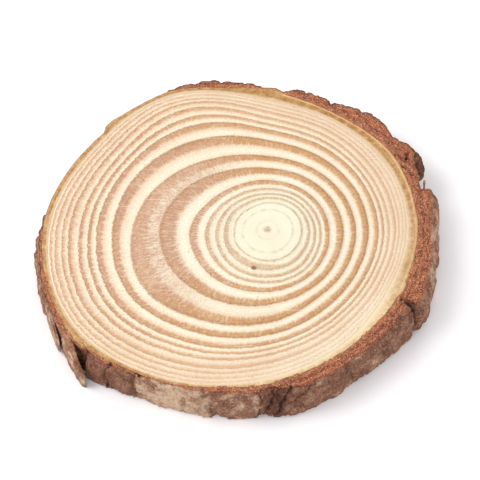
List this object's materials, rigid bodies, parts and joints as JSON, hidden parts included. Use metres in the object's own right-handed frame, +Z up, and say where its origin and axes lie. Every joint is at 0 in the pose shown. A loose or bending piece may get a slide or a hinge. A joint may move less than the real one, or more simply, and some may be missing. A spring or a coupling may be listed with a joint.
{
  "type": "wood slice",
  "caption": "Slice sawn straight across a pine branch with its bark on: off-centre growth rings on both flat faces and a broken, flaking bark rim.",
  "frame": {"origin": "on the underside's plane, below the middle of the slice's outline as seen from above", "axes": "+Z up through the thickness, from the face it lies on to the upper face; +X along the slice's longest side, towards the thick bark and the pith's side; +Y away from a viewer who has +X on the right"},
  "size_m": [0.0922, 0.0872, 0.0095],
  "materials": {
    "wood": "sawn and lightly sanded end grain, unfinished, with pale early wood and tan late wood rings",
    "inner_bark": "dry ochre inner bark, fibrous and matte",
    "bark": "rough, layered red-brown outer bark, grey-brown outside, matte"
  },
  "bodies": {
    "root": {"wood_slice": "wood"}
  },
  "joints": []
}
